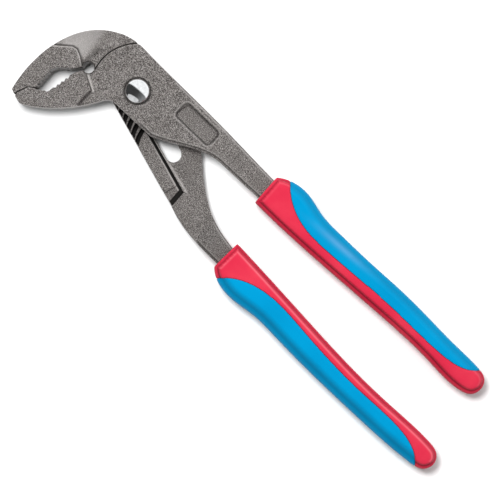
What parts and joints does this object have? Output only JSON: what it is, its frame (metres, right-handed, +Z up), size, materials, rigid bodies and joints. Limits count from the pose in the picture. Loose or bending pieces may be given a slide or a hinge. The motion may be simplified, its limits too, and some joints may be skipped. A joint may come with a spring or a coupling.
{
  "type": "tongue and groove pliers",
  "caption": "Adjustable pliers with a hook jaw, a lower jaw, a slotted lap joint with an arc-grooved rail, a domed pivot bolt and long handles with soft grips.",
  "frame": {"origin": "on the pivot axis, at the flat underside of the pivot nut, which is the resting plane", "axes": "+X from the pivot towards the handle ends, +Y towards the front lever's handle side, +Z up from the resting plane along the pivot axis"},
  "size_m": [0.2415, 0.0595, 0.016],
  "materials": {
    "forged_steel": "shot-blasted forging, warm dark grey",
    "polished_steel": "polished",
    "red_grip": "smooth, soft sheen",
    "blue_grip": "smooth, soft sheen"
  },
  "bodies": {
    "rear_half": {"rear_lever": "forged_steel", "pivot_bolt": "polished_steel", "pivot_nut": "polished_steel", "rear_grip_sleeve": "red_grip", "rear_grip_pad": "blue_grip"},
    "front_half": {"front_lever": "forged_steel", "front_grip_sleeve": "red_grip", "front_grip_pad": "blue_grip"}
  },
  "joints": [
    {"name": "handle_opening", "type": "hinge", "parent": "rear_half", "child": "front_half", "pos_m": [0, 0, 0], "axis": [0, 0, 1], "range_deg": [0, 60]}
  ]
}
